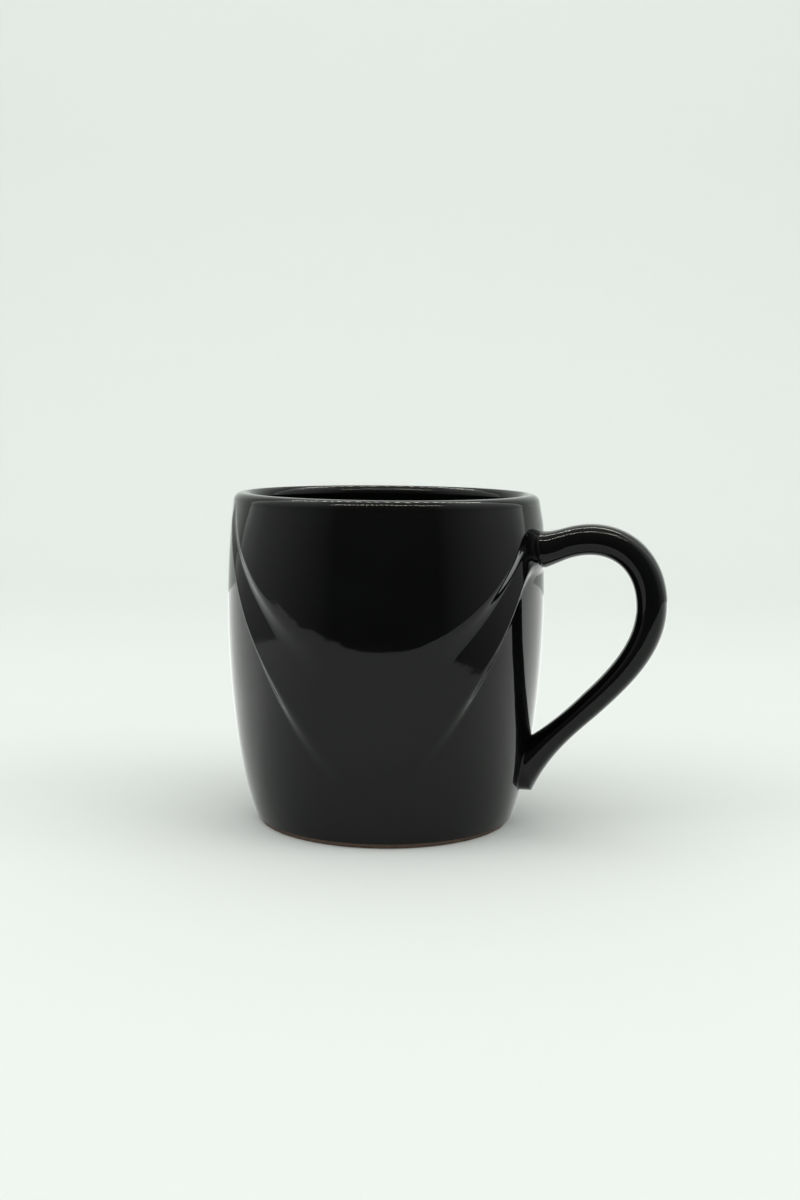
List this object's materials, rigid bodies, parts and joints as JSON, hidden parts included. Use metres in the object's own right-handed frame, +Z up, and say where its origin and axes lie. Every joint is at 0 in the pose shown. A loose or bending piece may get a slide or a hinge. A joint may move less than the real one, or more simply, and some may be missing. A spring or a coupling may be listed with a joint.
{
  "type": "ceramic mug",
  "caption": "Glossy black glazed ceramic mug with a loop handle and draped folds moulded into both sides.",
  "frame": {"origin": "centre of the foot, on the table", "axes": "+Z up along the cup's axis, +X towards the handle, the handle's plane is XZ"},
  "size_m": [0.1301, 0.095, 0.0978],
  "materials": {
    "bare_clay": "fired stoneware, unglazed and matt, with a fine grain",
    "slip": "fired clay slip, matt",
    "black_glaze": "glossy near-black glaze",
    "inside_glaze": "glossy near-black glaze, poured",
    "base_glaze": "glossy near-black glaze inside the foot ring"
  },
  "bodies": {
    "root": {"clay_cup": "bare_clay", "clay_handle": "bare_clay", "upper_slip_joint": "slip", "lower_slip_joint": "slip", "outside_glaze": "black_glaze", "inside_glaze": "inside_glaze", "base_glaze": "base_glaze", "handle_glaze": "black_glaze"}
  },
  "joints": []
}
